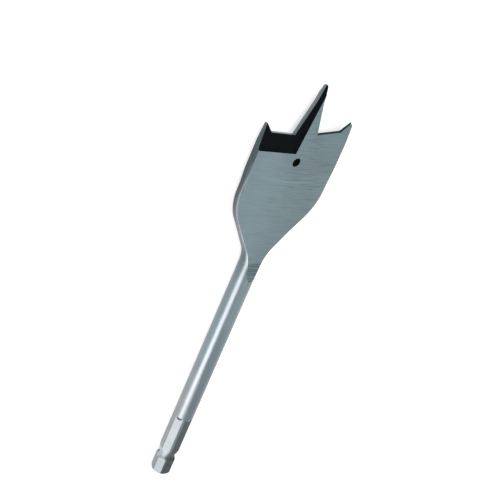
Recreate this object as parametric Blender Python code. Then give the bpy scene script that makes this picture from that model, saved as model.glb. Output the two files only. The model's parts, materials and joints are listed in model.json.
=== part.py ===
# Spade drill bit, one piece of forged and ground steel, lying at rest.
# Metres, +Z up. +X runs across the blade, +Y from the shank end to the point,
# +Z is the normal of the ground face that looks up. The shapes below are measured from the
# shank's end face at y = 0 and its axis, and the finished bit is centred over the origin.

import math

import bmesh
import bpy

MM = 0.001

# Overall sizes, in mm
OVERALL_LENGTH = 152.0
BLADE_WIDTH = 35.0
BLADE_THICKNESS = 2.65
SHANK_DIAMETER = 6.9

# Cutting end, in mm and degrees
POINT_LENGTH = 17.25
POINT_BASE_WIDTH = 9.0
POINT_KNEE_WIDTH = 2.65
POINT_KNEE_LENGTH = 5.5
POINT_TIP_WIDTH = 1.1
POINT_TIP_THICKNESS = 0.9
LIP_ANGLE_DEG = 5.7
SPUR_WIDTH = 3.1
SPUR_HEIGHT = 3.3
SPUR_FOOT_RADIUS = 0.6
LIP_CLEARANCE_DEG = 13.0
POINT_CLEARANCE_DEG = 17.0
SPUR_CLEARANCE_DEG = 1.0
SIDE_CLEARANCE_DEG = 16.0
SIDE_CLEARANCE_LENGTH = 13.5

# Rake recesses, in mm and degrees. Each profile gives depth over distance from the recess edge
RECESS_LIP_PROFILE = ((0.0, 0.0), (0.35, 0.26), (0.7, 0.43), (1.1, 0.54),
                      (1.6, 0.60), (2.4, 0.66), (7.6, 0.94))
RECESS_POINT_PROFILE = ((0.0, 0.0), (0.15, 0.26), (0.4, 0.45), (0.8, 0.60),
                        (1.4, 0.73), (2.0, 0.81), (3.6, 0.96))
RECESS_BELOW_LIP = 6.35
RECESS_ANGLE_DEG = 5.0
RECESS_OFF_AXIS = 1.08
RECESS_LEAN_DEG = 6.0

# Hole through the blade, in mm
HOLE_DIAMETER = 3.0
HOLE_BELOW_LIP = 9.25

# Forged blade, shoulder and neck, in mm and degrees. Its round corners fade near the cutting end
FORGED_THICKNESS = 3.2
FORGED_CORNER = 1.2
END_CORNER = 0.25
PARALLEL_LENGTH = 19.75
CORNER_FADE_BEYOND_SHOULDER = 1.0
CORNER_FADE_LENGTH = 9.0
SHOULDER_RADIUS = 18.0
SHOULDER_ANGLE_DEG = 37.0
NECK_RADIUS = 12.0
FLATTENING_LENGTH = 16.5
FLATTENING_BEFORE_NECK = 2.6
CORNERING_LENGTH = 14.5
CORNERING_BEFORE_NECK = 3.1

# Ground faces, which run out on the neck along the wheel's arc, in mm
RUNOUT_LENGTH = 18.0
RUNOUT_BEFORE_NECK = 4.5

# Hex drive end, in mm
HEX_ACROSS_FLATS = 6.35
HEX_LENGTH = 23.5
HEX_SHOULDER_ANGLE_DEG = 15.0
GROOVE_FROM_END = 7.1
GROOVE_DEPTH = 0.8
GROOVE_BOTTOM = 0.5
GROOVE_SIDE_TO_BLADE = 2.9
GROOVE_SIDE_TO_END = 0.85
END_CHAMFER = 0.62

# Points round a section and steps along the wheel's arc, the fade of the corners and the spur's foot
AROUND = 64
ARC_STEPS = 14
FADE_STEPS = 6
FOOT_STEPS = 4

# How far cuts start clear of the steel, in mm, and how far the wheel's arc runs past its end
CUT_CLEARANCE = 0.1
SIDE_CUT_CLEARANCE = 0.02
CUT_OVERRUN = 4.0
ARC_OVERRUN = 1.25

SHANK_R = SHANK_DIAMETER / 2
HALF_W = BLADE_WIDTH / 2
HALF_T = BLADE_THICKNESS / 2
REACH = BLADE_WIDTH + OVERALL_LENGTH / 10

# Places along the bit
LIP_Y = OVERALL_LENGTH - POINT_LENGTH
SHOULDER_TOP_Y = LIP_Y - PARALLEL_LENGTH
SHOULDER_ANGLE = math.radians(SHOULDER_ANGLE_DEG)
SHOULDER_END_Y = SHOULDER_TOP_Y - SHOULDER_RADIUS * math.sin(SHOULDER_ANGLE)
SHOULDER_END_W = HALF_W - SHOULDER_RADIUS * (1 - math.cos(SHOULDER_ANGLE))
NECK_CROSS_Y = SHOULDER_END_Y - (SHOULDER_END_W - SHANK_R) / math.tan(SHOULDER_ANGLE)
NECK_TANGENT = NECK_RADIUS * math.tan(SHOULDER_ANGLE / 2)
NECK_Y = NECK_CROSS_Y - NECK_TANGENT
NECK_END_Y = NECK_CROSS_Y + NECK_TANGENT * math.cos(SHOULDER_ANGLE)
FLATTENING_Y = NECK_Y - FLATTENING_BEFORE_NECK
CORNERING_Y = NECK_Y - CORNERING_BEFORE_NECK
CORNER_FADE_Y = SHOULDER_TOP_Y + CORNER_FADE_BEYOND_SHOULDER
RUNOUT_Y = NECK_Y - RUNOUT_BEFORE_NECK


def mesh_object(name, verts, faces):
    mesh = bpy.data.meshes.new(name)
    mesh.from_pydata([(x * MM, y * MM, z * MM) for x, y, z in verts], [], faces)
    bm = bmesh.new()
    bm.from_mesh(mesh)
    bmesh.ops.recalc_face_normals(bm, faces=bm.faces)
    bm.to_mesh(mesh)
    bm.free()
    obj = bpy.data.objects.new(name, mesh)
    bpy.context.scene.collection.objects.link(obj)
    return obj


def skin(name, rings):
    # Closed solid over rings of equal point count
    count = len(rings[0])
    verts = [point for ring in rings for point in ring]
    faces = [list(range(count)), list(range(len(verts) - count, len(verts)))]
    for start in range(0, len(verts) - count, count):
        for k in range(count):
            n = (k + 1) % count
            faces.append([start + k, start + n, start + count + n, start + count + k])
    return mesh_object(name, verts, faces)


def turned(name, profile):
    # Solid of revolution about the bit's axis from a closed profile of (y, radius)
    count = len(profile)
    turn = [2 * math.pi * k / AROUND for k in range(AROUND)]
    verts = [(r * math.sin(a), y, r * math.cos(a)) for a in turn for y, r in profile]
    faces = []
    for k in range(AROUND):
        here, there = k * count, (k + 1) % AROUND * count
        for i in range(count):
            n = (i + 1) % count
            faces.append([here + i, here + n, there + n, there + i])
    return mesh_object(name, verts, faces)


def boolean(target, tool, operation="DIFFERENCE"):
    modifier = target.modifiers.new(operation, "BOOLEAN")
    modifier.operation = operation
    modifier.solver = "EXACT"
    modifier.object = tool
    graph = bpy.context.evaluated_depsgraph_get()
    rough = target.data
    target.data = bpy.data.meshes.new_from_object(target.evaluated_get(graph))
    target.modifiers.clear()
    bpy.data.meshes.remove(rough)
    bpy.data.objects.remove(tool, do_unlink=True)


def half_turn(points):
    # The same place on the other half of the bit, which is the first turned about its axis
    return [(-x, y, -z) for x, y, z in points]


def ease(start, length, y):
    t = min(1.0, max(0.0, (y - start) / length))
    return t * t * (3 - 2 * t)


def half_width(y):
    # Parallel sides, convex shoulder arc, straight flank, concave neck arc, shank
    if y >= SHOULDER_TOP_Y:
        return HALF_W
    if y >= SHOULDER_END_Y:
        fall = SHOULDER_TOP_Y - y
        return HALF_W - SHOULDER_RADIUS + math.sqrt(SHOULDER_RADIUS ** 2 - fall ** 2)
    if y >= NECK_END_Y:
        return SHOULDER_END_W - (SHOULDER_END_Y - y) * math.tan(SHOULDER_ANGLE)
    if y >= NECK_Y:
        return SHANK_R + NECK_RADIUS - math.sqrt(NECK_RADIUS ** 2 - (y - NECK_Y) ** 2)
    return SHANK_R


def section(y):
    # Rounded rectangle, which is the round shank where both half sizes equal the corner
    step = 0.01
    slope = (half_width(y + step) - half_width(y - step)) / (2 * step)
    width = half_width(y)
    flat = ease(FLATTENING_Y, FLATTENING_LENGTH, y)
    thick = SHANK_R + (FORGED_THICKNESS / 2 - SHANK_R) * flat
    corner = SHANK_R + (FORGED_CORNER - SHANK_R) * ease(CORNERING_Y, CORNERING_LENGTH, y)
    corner += (END_CORNER - FORGED_CORNER) * ease(CORNER_FADE_Y, CORNER_FADE_LENGTH, y)
    corner = min(corner, thick)
    corner_x = min(corner * math.hypot(1, slope), width)
    per_corner = AROUND // 4
    stretch = 1 / math.cos(math.pi / AROUND)
    ring = []
    for quarter in range(4):
        side_x = 1 if quarter in (0, 1) else -1
        side_z = 1 if quarter in (0, 3) else -1
        for k in range(per_corner):
            a = (quarter + (k + 0.5) / per_corner) * math.pi / 2
            x = side_x * (width - corner_x) + corner_x * stretch * math.sin(a)
            z = side_z * (thick - corner) + corner * stretch * math.cos(a)
            ring.append((x, y, z))
    return ring


def forged_blank():
    count = round(SHOULDER_TOP_Y - RUNOUT_Y)
    neck = [RUNOUT_Y + (SHOULDER_TOP_Y - RUNOUT_Y) * k / count for k in range(count + 1)]
    fade = [CORNER_FADE_Y + CORNER_FADE_LENGTH * k / FADE_STEPS for k in range(FADE_STEPS + 1)]
    places = [0.0, RUNOUT_Y / 2] + neck + fade + [OVERALL_LENGTH]
    return skin("spade_bit", [section(y) for y in places])


def wheel_path(size, stock, flat_y, length):
    # Stock outside this path is ground off. It is straight at the size and leaves it on an arc
    wheel = (length ** 2 + stock ** 2) / (2 * stock)
    path = []
    for k in range(ARC_STEPS + 1):
        back = length * ARC_OVERRUN * (1 - k / ARC_STEPS)
        path.append((flat_y - back, size + wheel - math.sqrt(wheel ** 2 - back ** 2)))
    outside = path[0][1] + size
    beyond = OVERALL_LENGTH + CUT_OVERRUN
    return path + [(beyond, size), (beyond, outside), (path[0][0], outside)]


def ground_face(side):
    path = wheel_path(HALF_T, SHANK_R - HALF_T, RUNOUT_Y + RUNOUT_LENGTH, RUNOUT_LENGTH)
    rings = [[(x, y, z * side) for y, z in path] for x in (-REACH, REACH)]
    return skin("ground_face", rings)


def meet(line_a, line_b):
    # Where two lines meet, each a point and a direction angle
    (ax, ay), a = line_a
    (bx, by), b = line_b
    span = math.cos(a) * math.sin(b) - math.sin(a) * math.cos(b)
    t = ((bx - ax) * math.sin(b) - (by - ay) * math.cos(b)) / span
    return ax + t * math.cos(a), ay + t * math.sin(a)


def shifted(line, distance):
    (x, y), a = line
    return (x + distance * math.sin(a), y - distance * math.cos(a)), a


def outline_at(level):
    # Cutting end of the left half at one height, leading edges at the height of the rake recess
    drop = HALF_T - RECESS_LIP_PROFILE[-1][1] - level
    tilt = math.radians(LIP_ANGLE_DEG)
    spur_foot_x = HALF_W - SPUR_WIDTH
    spur_foot = (-spur_foot_x, LIP_Y + (spur_foot_x - POINT_BASE_WIDTH / 2) * math.tan(tilt))
    spur_tip = (-HALF_W, spur_foot[1] + SPUR_HEIGHT)
    knee = (-POINT_KNEE_WIDTH / 2, OVERALL_LENGTH - POINT_KNEE_LENGTH)
    lean = math.atan2(POINT_LENGTH - POINT_KNEE_LENGTH, (POINT_BASE_WIDTH - POINT_KNEE_WIDTH) / 2)
    tip_lean = math.atan2(POINT_KNEE_LENGTH, (POINT_KNEE_WIDTH - POINT_TIP_WIDTH) / 2)
    lip = ((-POINT_BASE_WIDTH / 2, LIP_Y), -tilt)
    spur = (spur_tip, -math.atan2(SPUR_HEIGHT, SPUR_WIDTH))
    lip = shifted(lip, drop * math.tan(math.radians(LIP_CLEARANCE_DEG)))
    point = shifted((knee, lean), drop * math.tan(math.radians(POINT_CLEARANCE_DEG)))
    tip = shifted((knee, tip_lean), drop * math.tan(math.radians(POINT_CLEARANCE_DEG)))
    spur = shifted(spur, drop * math.tan(math.radians(SPUR_CLEARANCE_DEG)))
    side_x = -HALF_W + drop * math.tan(math.radians(SIDE_CLEARANCE_DEG))
    side_start = spur_tip[1] - SIDE_CLEARANCE_LENGTH
    beyond = OVERALL_LENGTH + CUT_OVERRUN
    outline = [(-HALF_W - SIDE_CUT_CLEARANCE, side_start)]
    outline.append(meet(spur, ((side_x, side_start), math.pi / 2)))
    outline += rounded(spur, lip, SPUR_FOOT_RADIUS)
    outline.append(meet(lip, point))
    outline.append(meet(point, tip))
    outline.append(meet(tip, ((0, beyond), 0)))
    outline += [(-REACH, beyond), (-REACH, side_start)]
    return [(x, y, level) for x, y in outline]


def rounded(line_a, line_b, radius):
    # Arc tangent to two lines, on the open side above both
    centre = meet(shifted(line_a, -radius), shifted(line_b, -radius))
    a, b = line_a[1], line_b[1]
    arc = []
    for k in range(FOOT_STEPS + 1):
        angle = a + (b - a) * k / FOOT_STEPS - math.pi / 2
        arc.append((centre[0] + radius * math.cos(angle), centre[1] + radius * math.sin(angle)))
    return arc


def cutting_end(turn):
    levels = [outline_at(-FORGED_THICKNESS), outline_at(FORGED_THICKNESS)]
    if turn:
        levels = [half_turn(level) for level in levels]
    return skin("cutting_end", levels)


def tip_bevel(side):
    # The end of the point slopes off at 45 degrees to the blade's two faces
    ridge, over = POINT_TIP_THICKNESS / 2, BLADE_THICKNESS
    profile = [(OVERALL_LENGTH + over, ridge - over), (OVERALL_LENGTH + over, ridge + over)]
    profile.append((OVERALL_LENGTH - over, ridge + over))
    rings = [[(x, y, z * side) for y, z in profile] for x in (-HALF_W, HALF_W)]
    return skin("tip_bevel", rings)


def hollow(profile, start, along, across, reach):
    # Prism whose underside is a recess profile, starting at a line and deepening across it
    first, first_depth = profile[1]
    over = BLADE_THICKNESS
    (da, depth_a), (db, depth_b) = profile[-2:]
    last_depth = depth_b + (reach - db) * (depth_b - depth_a) / (db - da)
    outline = [(-(over - HALF_T) * first / first_depth, over)]
    outline += [(d, HALF_T - depth) for d, depth in profile]
    outline += [(reach, HALF_T - last_depth), (reach, over)]
    rings = []
    for move in (-reach, reach):
        x, y = start[0] + move * along[0], start[1] + move * along[1]
        rings.append([(x + d * across[0], y + d * across[1], z) for d, z in outline])
    return rings


def rake_recess(turn):
    tilt = math.radians(RECESS_ANGLE_DEG)
    lip_rings = hollow(RECESS_LIP_PROFILE, (0, LIP_Y - RECESS_BELOW_LIP),
                       (-math.cos(tilt), math.sin(tilt)), (math.sin(tilt), math.cos(tilt)), REACH)
    lean = math.radians(RECESS_LEAN_DEG)
    point_rings = hollow(RECESS_POINT_PROFILE, (-RECESS_OFF_AXIS, LIP_Y),
                         (math.sin(lean), math.cos(lean)), (-math.cos(lean), math.sin(lean)), REACH)
    if turn:
        lip_rings = [half_turn(ring) for ring in lip_rings]
        point_rings = [half_turn(ring) for ring in point_rings]
    recess = skin("rake_recess", lip_rings)
    boolean(recess, skin("point_side", point_rings), "INTERSECT")
    return recess


def hole():
    r = HOLE_DIAMETER / 2
    y = LIP_Y - HOLE_BELOW_LIP
    turn = [2 * math.pi * k / AROUND for k in range(AROUND)]
    rings = [[(r * math.cos(a), y + r * math.sin(a), z) for a in turn] for z in (-SHANK_R, SHANK_R)]
    return skin("hole", rings)


def hex_flats():
    # Ring outside the hexagon, closed towards the blade by a cone that leaves the flats' ends round
    apothem = HEX_ACROSS_FLATS / 2
    rise = math.tan(math.radians(HEX_SHOULDER_ANGLE_DEG))
    under, over = apothem - CUT_CLEARANCE, SHANK_R + CUT_CLEARANCE
    start, end = HEX_LENGTH - CUT_CLEARANCE / rise, HEX_LENGTH + (over - apothem) / rise
    inner, outer = apothem / 2, SHANK_R + CUT_OVERRUN
    profile = [(-CUT_OVERRUN, inner), (-CUT_OVERRUN, outer), (end, outer), (end, over)]
    ring = turned("hex_flats", profile + [(start, under), (start, inner)])
    corner = apothem / math.cos(math.pi / 6)
    corners = [math.pi / 6 + math.pi / 3 * k for k in range(6)]
    ends = (-2 * CUT_OVERRUN, end + CUT_OVERRUN)
    hexagon = [[(corner * math.sin(a), y, corner * math.cos(a)) for a in corners] for y in ends]
    boolean(ring, skin("hexagon", hexagon))
    return ring


def groove():
    bottom = SHANK_R - GROOVE_DEPTH
    over = SHANK_R + CUT_OVERRUN
    reach = (over - bottom) / GROOVE_DEPTH
    near, far = GROOVE_FROM_END - GROOVE_BOTTOM / 2, GROOVE_FROM_END + GROOVE_BOTTOM / 2
    profile = [(near, bottom), (far, bottom), (far + GROOVE_SIDE_TO_BLADE * reach, over)]
    profile.append((near - GROOVE_SIDE_TO_END * reach, over))
    return turned("groove", profile)


def end_chamfer():
    over = END_CHAMFER
    profile = [(-over, SHANK_R - END_CHAMFER - over), (END_CHAMFER + over, SHANK_R + over)]
    return turned("end_chamfer", profile + [(-over, SHANK_R + over)])


def steel():
    material = bpy.data.materials.new("ground_steel")
    material.use_nodes = True
    shader = material.node_tree.nodes["Principled BSDF"]
    shader.inputs["Base Color"].default_value = (0.30, 0.33, 0.34, 1)
    shader.inputs["Metallic"].default_value = 1.0
    shader.inputs["Roughness"].default_value = 0.35
    return material


def spade_bit():
    bit = forged_blank()
    for side in (1, -1):
        boolean(bit, ground_face(side))
        boolean(bit, tip_bevel(side))
    for turn in (False, True):
        boolean(bit, cutting_end(turn))
        boolean(bit, rake_recess(turn))
    boolean(bit, hole())
    boolean(bit, hex_flats())
    boolean(bit, groove())
    boolean(bit, end_chamfer())
    bit.data.shade_smooth()
    bit.data.set_sharp_from_angle(angle=math.radians(20))
    bit.data.materials.clear()
    bit.data.materials.append(steel())
    return bit


for old in list(bpy.data.objects):
    bpy.data.objects.remove(old, do_unlink=True)
spade_bit().location = (0, -OVERALL_LENGTH / 2 * MM, SHANK_R * MM)
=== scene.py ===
# Looks of the spade drill bit: steel finishes, soft studio, floor and camera

import json
import math

import bpy
from mathutils import Matrix, Vector

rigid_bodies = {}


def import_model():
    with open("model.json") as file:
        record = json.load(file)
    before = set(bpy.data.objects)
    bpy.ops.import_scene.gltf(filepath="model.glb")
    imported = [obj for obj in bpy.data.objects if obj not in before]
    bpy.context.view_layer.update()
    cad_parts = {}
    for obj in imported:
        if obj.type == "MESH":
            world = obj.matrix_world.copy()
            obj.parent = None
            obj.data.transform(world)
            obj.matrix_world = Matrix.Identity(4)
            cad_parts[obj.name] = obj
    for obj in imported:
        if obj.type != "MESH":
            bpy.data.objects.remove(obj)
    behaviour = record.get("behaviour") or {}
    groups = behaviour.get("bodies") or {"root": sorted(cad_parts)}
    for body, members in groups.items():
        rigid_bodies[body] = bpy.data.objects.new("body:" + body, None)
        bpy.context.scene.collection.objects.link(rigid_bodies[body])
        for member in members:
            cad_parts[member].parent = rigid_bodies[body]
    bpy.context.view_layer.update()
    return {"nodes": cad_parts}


MM = 0.001

# Sizes and places of the bit in mm: y from the shank's end face, and heights from its axis
LENGTH = 152.0
SHANK_R = 3.45
HALF_T = 1.325
HALF_W = 17.5
LIP_Y = 134.75
HOLE_Y = 125.5
HOLE_R = 1.5
TONGUE_Y = 81.8
FLAT_Y = 99.8
HEX_Y = 23.5
HEX_SHOULDER_Y = 25.2
HEX_APOTHEM = 3.175
GROOVE_Y = (5.8, 10.4)
CHAMFER_Y = 0.8

# How far the recesses, the lips and the spurs reach from LIP_Y or from the blade's side, in mm
RECESS_REACH = 8.0
LIP_REACH = 6.0
SPUR_WIDTH = 0.6

# How close a face has to lie to a surface, in mm, to be part of it
HOLE_SLACK = 0.1
GROUND_SLACK = 0.03
GROOVE_SLACK = 0.06
FLAT_SLACK = 0.01

# Vertices closer than this, in mm, are one, and edges sharper than this, in degrees, stay sharp
WELD_REACH = 0.002
SHARP_EDGE = 12

# Tints of the steel, which the tone of each finish multiplies
COOL = (0.70, 1.0, 1.09, 1.0)
PLAIN = (0.76, 1.0, 1.09, 1.0)
BRIGHT = (0.80, 1.0, 1.05, 1.0)
GREY = (0.85, 1.0, 1.05, 1.0)
BLUED = (0.70, 1.0, 1.25, 1.0)

# Brightness of the steel under its lines, and of the painted shade beside the lips' cutting edge
FACE_LEVEL = 0.243
LIP_LEVEL = 0.26
PAINTED_SHADE_LEVEL = 0.012
RECESS_LEVEL = 0.005

# Grinding lines on the faces: slant and bow of the lines, and bow of the wheel's arcs
SLANT = 0.10
LINE_BOW = 0.0022
ARC_BOW = 0.0067

# Places of the wheel's arc with a painted sheen and of the neck's bend, in mm from the middle of the bit's
# length
PAINTED_SHEEN_Y = 42.4
BEND_Y = 10.5

# How deep the tool marks are cut, in mm
GROUND_DEPTH = 0.012
FORGED_DEPTH = 0.010
MILLED_DEPTH = 0.008

# Lights, in metres and watts
KEY_PLACE = (-0.62096, -0.70109, 0.35054)
KEY_SIZE = (1.4, 0.60)
KEY_POWER = 10.7
KEY_COLOR = (1.0, 0.82, 0.82)
FILL_PLACE = (-0.275, 0.605, 0.88)
FILL_SIZE = (0.9, 0.9)
FILL_POWER = 7.5
ROOM_LIGHT = 0.3
WALL_LIGHT = 0.7
PANEL_LIGHT = 0.82

# Floor: half its side in metres, and how much light the camera and the steel see on it
FLOOR_HALF = 4.0
FLOOR_COLOR = (0.70, 0.70, 0.70, 1.0)
FLOOR_SEEN = 0.62
FLOOR_MIRRORED = 0.50

# Camera of the photograph, in the row frame
CAMERA_PLACE = (-0.31072, 0.23211, 0.27766)
CAMERA_FORWARD = (0.66236, -0.46355, -0.58856)
CAMERA_RIGHT = (0.74723, 0.35210, 0.56362)
CAMERA_LENS = 107.15
CAMERA_SENSOR = 36


def local(point):
    # Row frame in metres to the bit's own places in mm
    return point.x / MM, point.y / MM + LENGTH / 2, point.z / MM - SHANK_R


def node(tree, kind, **values):
    made = tree.nodes.new(kind)
    for name, value in values.items():
        setattr(made, name, value)
    return made


def feed(tree, value, socket):
    # A socket takes another node's output, a number or a colour
    if isinstance(value, bpy.types.NodeSocket):
        tree.links.new(value, socket)
    else:
        socket.default_value = value


def arith(tree, operation, *values):
    made = node(tree, "ShaderNodeMath", operation=operation)
    for value, socket in zip(values, made.inputs):
        feed(tree, value, socket)
    return made.outputs[0]


def times(tree, first, *others):
    product = first
    for other in others:
        product = arith(tree, "MULTIPLY", product, other)
    return product


def rest(tree, value):
    # What is left of 1
    return arith(tree, "SUBTRACT", 1.0, value)


def between(tree, share, first, second):
    # The first number where the share is 0, and the second where it is 1
    return arith(tree, "MULTIPLY_ADD", share, arith(tree, "SUBTRACT", second, first), first)


def step(tree, value, low, high, start=0.0, end=1.0):
    # Smooth change from start to end while the value goes from low to high
    made = node(tree, "ShaderNodeMapRange", interpolation_type="SMOOTHSTEP")
    feed(tree, value, made.inputs["Value"])
    for name, number in (("From Min", low), ("From Max", high), ("To Min", start), ("To Max", end)):
        feed(tree, number, made.inputs[name])
    return made.outputs["Result"]


def near(tree, value, centre, reach):
    # 1 on a line and 0 from its reach on
    off = arith(tree, "ABSOLUTE", arith(tree, "SUBTRACT", value, centre))
    return step(tree, off, 0.0, reach, 1.0, 0.0)


def blend(tree, share, first, second, kind="MIX"):
    # Two colours mixed by a share
    made = node(tree, "ShaderNodeMix", data_type="RGBA", blend_type=kind)
    feed(tree, share, made.inputs["Factor"])
    for value, socket in ((first, made.inputs["A"]), (second, made.inputs["B"])):
        feed(tree, value, socket)
    return made.outputs["Result"]


def place(tree):
    # The bit's own x, y and z in mm, with y from the middle of its length and z from the floor
    coordinates = node(tree, "ShaderNodeTexCoord")
    in_mm = node(tree, "ShaderNodeVectorMath", operation="SCALE")
    tree.links.new(coordinates.outputs["Object"], in_mm.inputs[0])
    in_mm.inputs["Scale"].default_value = 1 / MM
    parts = node(tree, "ShaderNodeSeparateXYZ")
    tree.links.new(in_mm.outputs[0], parts.inputs[0])
    return parts.outputs


def facing(tree, axis):
    # How far the surface faces along one axis of the bit, from -1 to 1
    own = node(tree, "ShaderNodeNewGeometry")
    parts = node(tree, "ShaderNodeSeparateXYZ")
    tree.links.new(own.outputs["Normal"], parts.inputs[0])
    return parts.outputs[axis]


def noise(tree, values, scales, layer=0.0, detail=3.0, rough=0.6):
    # Each value is stretched by its own scale. A pattern of two values lies on a layer of its own
    joined = node(tree, "ShaderNodeCombineXYZ")
    feed(tree, layer, joined.inputs["Z"])
    for value, scale, socket in zip(values, scales, joined.inputs):
        feed(tree, times(tree, value, scale), socket)
    made = node(tree, "ShaderNodeTexNoise")
    for name, number in (("Scale", 1.0), ("Detail", detail), ("Roughness", rough)):
        made.inputs[name].default_value = number
    tree.links.new(joined.outputs[0], made.inputs["Vector"])
    return made.outputs["Fac"]


def swing(tree, value, amount):
    # A noise value turned into a factor around 1
    centred = arith(tree, "SUBTRACT", value, 0.5)
    return arith(tree, "ADD", times(tree, centred, amount * 2), 1.0)


def new_material(name):
    material = bpy.data.materials.new(name)
    material.use_nodes = True
    return material


def finish(material, tint, tone, rough, relief, metal, depth, strength=0.35, specular=0.5):
    # tone is the brightness of the steel, and relief is the height that its marks are cut to
    tree = material.node_tree
    sockets = tree.nodes["Principled BSDF"].inputs
    feed(tree, blend(tree, 1.0, tint, tone, "MULTIPLY"), sockets["Base Color"])
    feed(tree, metal, sockets["Metallic"])
    feed(tree, rough, sockets["Roughness"])
    feed(tree, specular, sockets["Specular IOR Level"])
    bump = node(tree, "ShaderNodeBump")
    feed(tree, strength, bump.inputs["Strength"])
    feed(tree, depth * MM, bump.inputs["Distance"])
    feed(tree, relief, bump.inputs["Height"])
    feed(tree, bump.outputs["Normal"], sockets["Normal"])
    return material


def ground_steel():
    # Blade faces: grinding lines lie across the blade and bow a little towards the point
    material = new_material("ground_steel")
    tree = material.node_tree
    x, y, _ = place(tree)
    slant = arith(tree, "ADD", y, times(tree, x, SLANT))
    bow = times(tree, x, x)
    line = arith(tree, "SUBTRACT", slant, times(tree, bow, LINE_BOW))
    arc = arith(tree, "SUBTRACT", slant, times(tree, bow, ARC_BOW))
    fine = noise(tree, (x, line), (0.12, 6.0), layer=0.0, detail=2.0)
    coarse = noise(tree, (x, line), (0.07, 1.7), layer=3.0, rough=0.7)
    arcs = noise(tree, (x, arc), (0.035, 0.8), layer=7.0, detail=2.0, rough=0.7)
    cloud = noise(tree, (x, y), (0.06, 0.05), layer=11.0, detail=2.0)
    dark = noise(tree, (x, line), (0.11, 2.2), layer=17.0)
    chatter = noise(tree, (x, line), (0.03, 1.9), layer=23.0, detail=1.0)
    # Heavier dark lines lie in the middle and beside the point, and the other side is smoother and lighter
    heavy = times(tree, step(tree, x, -9.0, 2.0, 0.25, 1.0), step(tree, y, 22.0, 40.0, 0.5, 1.0))
    lines = times(tree, swing(tree, fine, 0.12), swing(tree, coarse, 0.30))
    lines = arith(tree, "SUBTRACT", lines, 1.0)
    tone = arith(tree, "MULTIPLY_ADD", lines, step(tree, heavy, 0.0, 1.0, 0.45, 1.0), 1.0)
    beside = step(tree, x, -12.0, 10.0, 1.12, 0.98)
    along = step(tree, y, 38.0, 50.0, 1.0, 0.95)
    streaks = times(tree, step(tree, dark, 0.52, 0.66), heavy, 0.30)
    tone = times(tree, tone, swing(tree, cloud, 0.20), beside, along, rest(tree, streaks))
    # Painted sheen: one deep arc of the wheel is painted brighter, and others faintly brighter
    painted_arc_sheen = times(tree, near(tree, arc, PAINTED_SHEEN_Y, 0.75), near(tree, x, -0.5, 19.0), 0.18)
    painted_arc_sheen = arith(tree, "ADD", painted_arc_sheen, step(tree, arcs, 0.64, 0.74, 0.0, 0.10))
    tone = arith(tree, "ADD", tone, painted_arc_sheen)
    # The run-out on the neck is darker, with the wheel's chatter across it
    runout = times(tree, step(tree, y, 11.5, 13.0, 1.0, 0.12), step(tree, y, 16.0, 22.0, 1.0, 0.0))
    darker = times(tree, runout, step(tree, chatter, 0.40, 0.60, 0.60, 0.22))
    tone = times(tree, tone, rest(tree, darker), FACE_LEVEL)
    rough = times(tree, swing(tree, coarse, 0.2), 0.44)
    relief = arith(tree, "ADD", fine, times(tree, coarse, 1.5))
    return finish(material, COOL, tone, rough, relief, metal=0.5, depth=GROUND_DEPTH, strength=0.5)


def forged_steel():
    # Round shank, neck and the blade's forged edges: walls darken along the blade, and corners facing up or
    # down stay bright, partly wear and partly painted highlight
    material = new_material("forged_steel")
    tree = material.node_tree
    x, y, z = place(tree)
    along = noise(tree, (x, y, z), (2.6, 0.09, 2.6))
    cloud = noise(tree, (x, y, z), (0.3, 0.12, 0.3))
    grain = noise(tree, (x, y, z), (5.0, 5.0, 5.0))
    upward = facing(tree, "Z")
    on_top = step(tree, upward, 0.35, 0.85)
    # Share of corners facing up or down, brightened partly as wear and partly as painted highlight
    worn_and_lit = step(tree, arith(tree, "ABSOLUTE", upward), 0.04, 0.52)
    # The wall is lighter in a band just under the ground face
    band = step(tree, z, SHANK_R - 0.3, SHANK_R + 1.2)
    band = times(tree, band, step(tree, y, 18.0, 24.0), step(tree, y, 48.0, 50.5, 1.0, 0.0))
    wall = times(tree, step(tree, y, 2.0, 17.0, 0.265, 0.14), step(tree, y, 22.0, 46.0, 1.0, 0.66))
    wall = times(tree, wall, arith(tree, "MULTIPLY_ADD", band, 0.55, 1.0))
    # The corners' brightness, partly wear and partly painted highlight, is a little darker where the neck
    # bends into the blade
    bend = arith(tree, "MULTIPLY_ADD", near(tree, y, BEND_Y, 6.0), -0.18, 1.0)
    corner = times(tree, step(tree, y, 18.0, 34.0, 0.27, 0.135), bend)
    level = between(tree, worn_and_lit, wall, corner)
    # Painted light and shade: the side of the shank is painted lighter and greyer towards its end, and its
    # top darker there
    beside = step(tree, y, -50.0, 5.0, 1.14, 0.94)
    painted_top_light = step(tree, y, -50.0, 5.0, 0.94, 1.10)
    level = times(tree, level, between(tree, on_top, beside, painted_top_light))
    painted_side_grey = times(tree, rest(tree, on_top), step(tree, y, -45.0, -15.0, 1.0, 0.0))
    tone = times(tree, swing(tree, along, 0.16), swing(tree, cloud, 0.14), swing(tree, grain, 0.08), level)
    # Corners facing up or down get a brighter tint, partly wear and partly painted highlight
    tint = blend(tree, step(tree, y, 6.0, 18.0), PLAIN, blend(tree, worn_and_lit, COOL, BRIGHT))
    tint = blend(tree, painted_side_grey, tint, GREY)
    metal = step(tree, y, -55.0, 10.0, 0.92, 0.85)
    rough = arith(tree, "ADD", step(tree, y, 10.0, 40.0, 0.25, 0.32), step(tree, y, -48.0, -28.0, 0.07, 0.0))
    rough = arith(tree, "ADD", times(tree, along, 0.10), rough)
    relief = arith(tree, "ADD", grain, along)
    return finish(material, tint, tone, rough, relief, metal, depth=FORGED_DEPTH)


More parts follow.
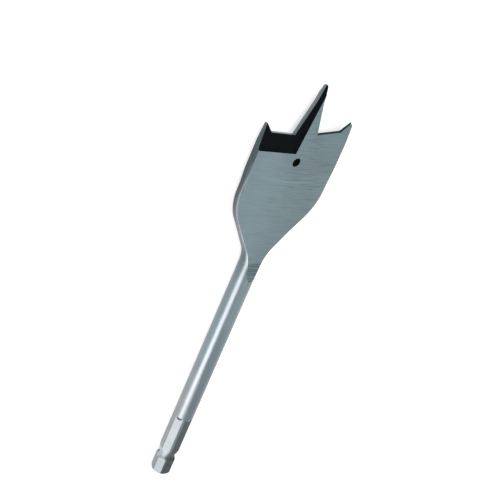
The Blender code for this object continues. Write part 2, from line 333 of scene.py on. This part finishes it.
def lip_steel():
    # Clearance faces behind the lips and spurs, with painted shade beside the cutting edge.
    # That edge is at the foot of the face on the right lip, and at its head on the left one
    material = new_material("lip_steel")
    tree = material.node_tree
    x, y, z = place(tree)
    lines = noise(tree, (x, y, z), (0.4, 2.0, 7.0), detail=2.0)
    height = arith(tree, "SUBTRACT", z, SHANK_R)
    # Painted shade in a band beside the cutting edge, on each lip
    left_painted_shade = step(tree, height, 0.0, 0.22)
    right_painted_shade = step(tree, height, 0.25, 0.50, 1.0, 0.0)
    painted_edge_shade = between(tree, step(tree, x, -1.0, 1.0), left_painted_shade, right_painted_shade)
    tone = times(tree, swing(tree, lines, 0.2), step(tree, painted_edge_shade, 0.0, 1.0, LIP_LEVEL, PAINTED_SHADE_LEVEL))
    rough = times(tree, swing(tree, lines, 0.2), 0.42)
    return finish(material, COOL, tone, rough, lines, metal=0.4, depth=MILLED_DEPTH, specular=0.2)


def milled_steel(name, level, roughness, tint=PLAIN, painted_far_level=1.0):
    # Hex flats, the groove, the end and other machined faces, with tool marks across the axis.
    # The last argument sets how bright the +X side is painted beside the -X side, as painted shade
    material = new_material(name)
    tree = material.node_tree
    x, y, z = place(tree)
    rings = noise(tree, (x, y, z), (0.2, 7.0, 0.2), detail=2.0)
    cloud = noise(tree, (x, y, z), (0.5, 0.3, 0.5))
    along = step(tree, y, -71.0, -69.0, 0.86, 1.0)
    # Painted shade on the +X side, and painted light on the lower faces
    painted_side_shade = step(tree, x, -2.6, -1.4, 1.0, painted_far_level)
    painted_low_light = step(tree, z, SHANK_R - 0.5, SHANK_R + 0.1, 1.25, 1.0)
    tone = times(tree, swing(tree, rings, 0.10), swing(tree, cloud, 0.16), along, painted_side_shade, painted_low_light, level)
    rough = times(tree, swing(tree, cloud, 0.2), roughness)
    return finish(material, tint, tone, rough, rings, metal=0.9, depth=MILLED_DEPTH)


def rake_steel():
    # Cutting recesses, blued almost black by the wheel
    material = new_material("rake_steel")
    tree = material.node_tree
    x, y, _ = place(tree)
    lines = noise(tree, (x, y), (0.5, 6.0))
    cloud = noise(tree, (x, y), (0.4, 0.4))
    tone = times(tree, swing(tree, lines, 0.3), swing(tree, cloud, 0.4), RECESS_LEVEL)
    rough = times(tree, swing(tree, lines, 0.2), 0.5)
    return finish(material, BLUED, tone, rough, lines, metal=0.0, depth=MILLED_DEPTH, strength=0.5,
                  specular=0.02)


def finishes():
    return {
        "ground_face": ground_steel(),
        "rake_recess": rake_steel(),
        "lip": lip_steel(),
        "flank": milled_steel("flank_steel", level=0.148, roughness=0.38, tint=BRIGHT),
        "forged": forged_steel(),
        "hex_flat": milled_steel("hex_steel", level=0.18, roughness=0.20, tint=BRIGHT, painted_far_level=0.85),
        "hex_corner": milled_steel("corner_steel", level=0.30, roughness=0.30, tint=BRIGHT, painted_far_level=0.45),
        "hex_shoulder": milled_steel("shoulder_steel", level=0.25, roughness=0.40),
        # Painted shade on the hex shoulder's faces towards -X and up
        "hex_painted_shade": milled_steel("painted_shade_steel", level=0.06, roughness=0.50),
        "turned": milled_steel("turned_steel", level=0.42, roughness=0.60, tint=GREY, painted_far_level=0.30),
        "groove_side": milled_steel("groove_steel", level=0.42, roughness=0.60, tint=GREY, painted_far_level=0.16),
        "hole_wall": milled_steel("hole_steel", level=0.008, roughness=0.70),
    }


def ground_height(y):
    # Height of the ground face over the axis, which runs out on the neck along the wheel's arc
    length, fall = FLAT_Y - TONGUE_Y, SHANK_R - HALF_T
    wheel = (length ** 2 + fall ** 2) / (2 * fall)
    back = max(0.0, FLAT_Y - y)
    return HALF_T + wheel - math.sqrt(max(0.0, wheel ** 2 - back ** 2))


def blade_zone(x, y, z, normal):
    if math.hypot(x, y - HOLE_Y) < HOLE_R + HOLE_SLACK and abs(normal.z) < 0.5:
        return "hole_wall"
    if abs(normal.z) > 0.9 and abs(abs(z) - ground_height(y)) < GROUND_SLACK:
        return "ground_face"
    if y > LIP_Y - RECESS_REACH and z * normal.z > 0 and abs(normal.z) > 0.35 and x * z < 0.9:
        return "rake_recess"
    if y > LIP_Y - LIP_REACH and abs(x) < HALF_W - SPUR_WIDTH:
        return "lip" if normal.y > 0.5 and y < LIP_Y + LIP_REACH else "flank"
    return "forged"


def drive_zone(x, y, z, normal):
    in_groove = GROOVE_Y[0] < y < GROOVE_Y[1] and math.hypot(x, z) < SHANK_R - GROOVE_SLACK
    if y < CHAMFER_Y or in_groove:
        return "groove_side" if normal.y > 0.3 else "turned"
    if y < HEX_SHOULDER_Y and abs(normal.y) > 0.1:
        # Shoulder faces towards -X and up are painted dark, as painted shade
        return "hex_painted_shade" if normal.x < -0.5 and normal.z > 0 else "hex_shoulder"
    if y < HEX_SHOULDER_Y and abs(x * normal.x + z * normal.z - HEX_APOTHEM) < FLAT_SLACK:
        return "hex_flat"
    return "hex_corner" if y < HEX_Y else "forged"


def zone(centre, normal):
    # Which finish a face has, from its place on the bit and the way it faces
    x, y, z = local(centre)
    return blade_zone(x, y, z, normal) if y > TONGUE_Y - 1 else drive_zone(x, y, z, normal)


def dress(bit):
    mesh = bit.data
    if "custom_normal" in mesh.attributes:
        mesh.attributes.remove(mesh.attributes["custom_normal"])
    mesh.materials.clear()
    made = finishes()
    order = list(made)
    for name in order:
        mesh.materials.append(made[name])
    for face in mesh.polygons:
        face.material_index = order.index(zone(face.center, face.normal))
        face.use_smooth = True
    weld = bit.modifiers.new("weld", "WELD")
    weld.merge_threshold = WELD_REACH * MM
    edges = bit.modifiers.new("edges", "EDGE_SPLIT")
    edges.split_angle = math.radians(SHARP_EDGE)


def area_light(name, where, size, power, color=(1, 1, 1)):
    # A soft light that faces the middle of the bit
    light = bpy.data.lights.new(name, "AREA")
    light.shape = "RECTANGLE"
    light.size, light.size_y = size
    light.energy = power
    light.color = color
    lamp = bpy.data.objects.new(name, light)
    lamp.location = where
    lamp.rotation_euler = (-Vector(where)).to_track_quat("-Z", "Y").to_euler()
    bpy.context.scene.collection.objects.link(lamp)


def studio():
    area_light("key", KEY_PLACE, KEY_SIZE, KEY_POWER, KEY_COLOR)
    area_light("fill", FILL_PLACE, FILL_SIZE, FILL_POWER)
    world = bpy.data.worlds.new("studio")
    world.use_nodes = True
    tree = world.node_tree
    back = tree.nodes["Background"]
    back.inputs["Color"].default_value = (1, 1, 1, 1)
    # White walls round the horizon, which the camera and the steel see, under a dim ceiling with a soft panel
    path = node(tree, "ShaderNodeLightPath")
    seen = arith(tree, "MAXIMUM", path.outputs["Is Camera Ray"], path.outputs["Is Glossy Ray"])
    direction = node(tree, "ShaderNodeSeparateXYZ")
    tree.links.new(node(tree, "ShaderNodeTexCoord").outputs["Generated"], direction.inputs[0])
    x, y, z = direction.outputs
    wall = step(tree, z, 0.25, 0.62, WALL_LIGHT, 0.0)
    panel = times(tree, step(tree, x, -0.70, -0.05), step(tree, y, -0.66, -0.46, 0.0, PANEL_LIGHT))
    bright = arith(tree, "MAXIMUM", wall, panel)
    feed(tree, arith(tree, "MULTIPLY_ADD", seen, bright, ROOM_LIGHT), back.inputs["Strength"])
    bpy.context.scene.world = world


def floor():
    # Matt and pale, with light of its own that only the camera and the steel see, so that shadows stay
    mesh = bpy.data.meshes.new("floor")
    corners = [(x * FLOOR_HALF, y * FLOOR_HALF, 0) for x, y in ((-1, -1), (1, -1), (1, 1), (-1, 1))]
    mesh.from_pydata(corners, [], [(0, 1, 2, 3)])
    plane = bpy.data.objects.new("floor", mesh)
    bpy.context.scene.collection.objects.link(plane)
    material = new_material("floor")
    tree = material.node_tree
    sockets = tree.nodes["Principled BSDF"].inputs
    path = node(tree, "ShaderNodeLightPath")
    mirrored = times(tree, path.outputs["Is Glossy Ray"], FLOOR_MIRRORED)
    white = arith(tree, "MULTIPLY_ADD", path.outputs["Is Camera Ray"], FLOOR_SEEN, mirrored)
    feed(tree, FLOOR_COLOR, sockets["Base Color"])
    feed(tree, 0.9, sockets["Roughness"])
    feed(tree, (1, 1, 1, 1), sockets["Emission Color"])
    feed(tree, white, sockets["Emission Strength"])
    mesh.materials.append(material)


def camera():
    forward = Vector(CAMERA_FORWARD).normalized()
    right = Vector(CAMERA_RIGHT).normalized()
    up = right.cross(forward)
    data = bpy.data.cameras.new("camera")
    data.lens = CAMERA_LENS
    data.sensor_width = CAMERA_SENSOR
    made = bpy.data.objects.new("camera", data)
    turn = Matrix((right, up, -forward)).transposed().to_4x4()
    turn.translation = Vector(CAMERA_PLACE)
    made.matrix_world = turn
    bpy.context.scene.collection.objects.link(made)
    bpy.context.scene.camera = made


for old in list(bpy.data.objects):
    bpy.data.objects.remove(old, do_unlink=True)
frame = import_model()
camera()
dress(frame["nodes"]["spade_bit"])
floor()
studio()
bpy.context.scene.view_settings.view_transform = "Standard"
